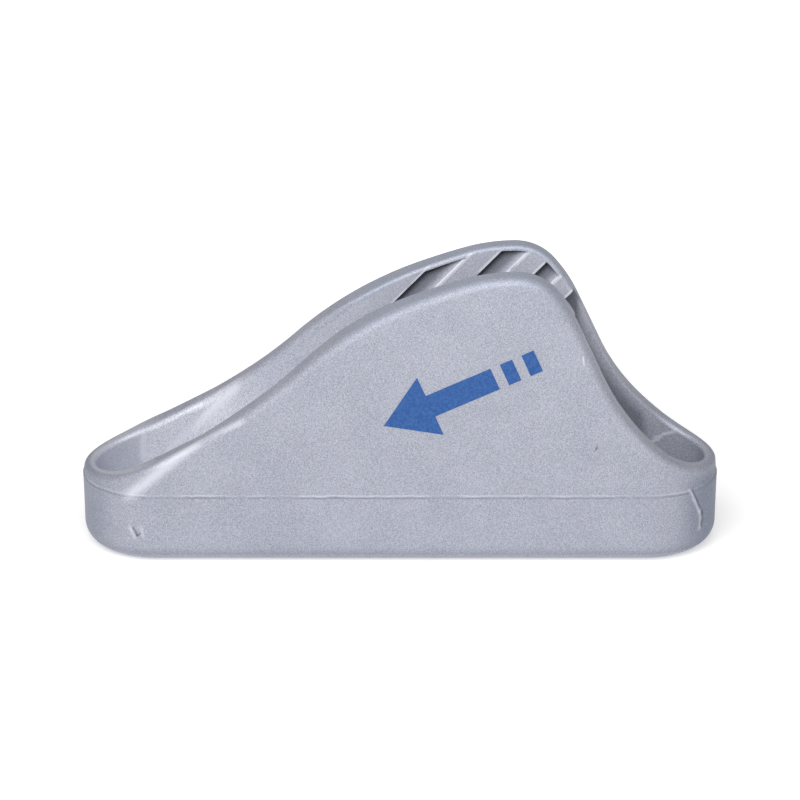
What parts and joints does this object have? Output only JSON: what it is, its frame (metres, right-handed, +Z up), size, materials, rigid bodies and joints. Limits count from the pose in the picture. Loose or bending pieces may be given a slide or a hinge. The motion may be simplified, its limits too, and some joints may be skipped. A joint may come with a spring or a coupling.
{
  "type": "jam cleat",
  "caption": "Cast jam cleat with a toothed V groove between its cheeks and a screw pocket at each end.",
  "frame": {"origin": "centre of the base, at the underside", "axes": "+X along the groove towards the steep end, where the loose tail leaves; the rope pulls towards -X; +Z up out of the deck; +Y across the cheeks"},
  "size_m": [0.082, 0.019, 0.0386],
  "materials": {
    "cast_aluminium": "satin"
  },
  "bodies": {
    "root": {"cleat_body": "cast_aluminium"}
  },
  "joints": []
}
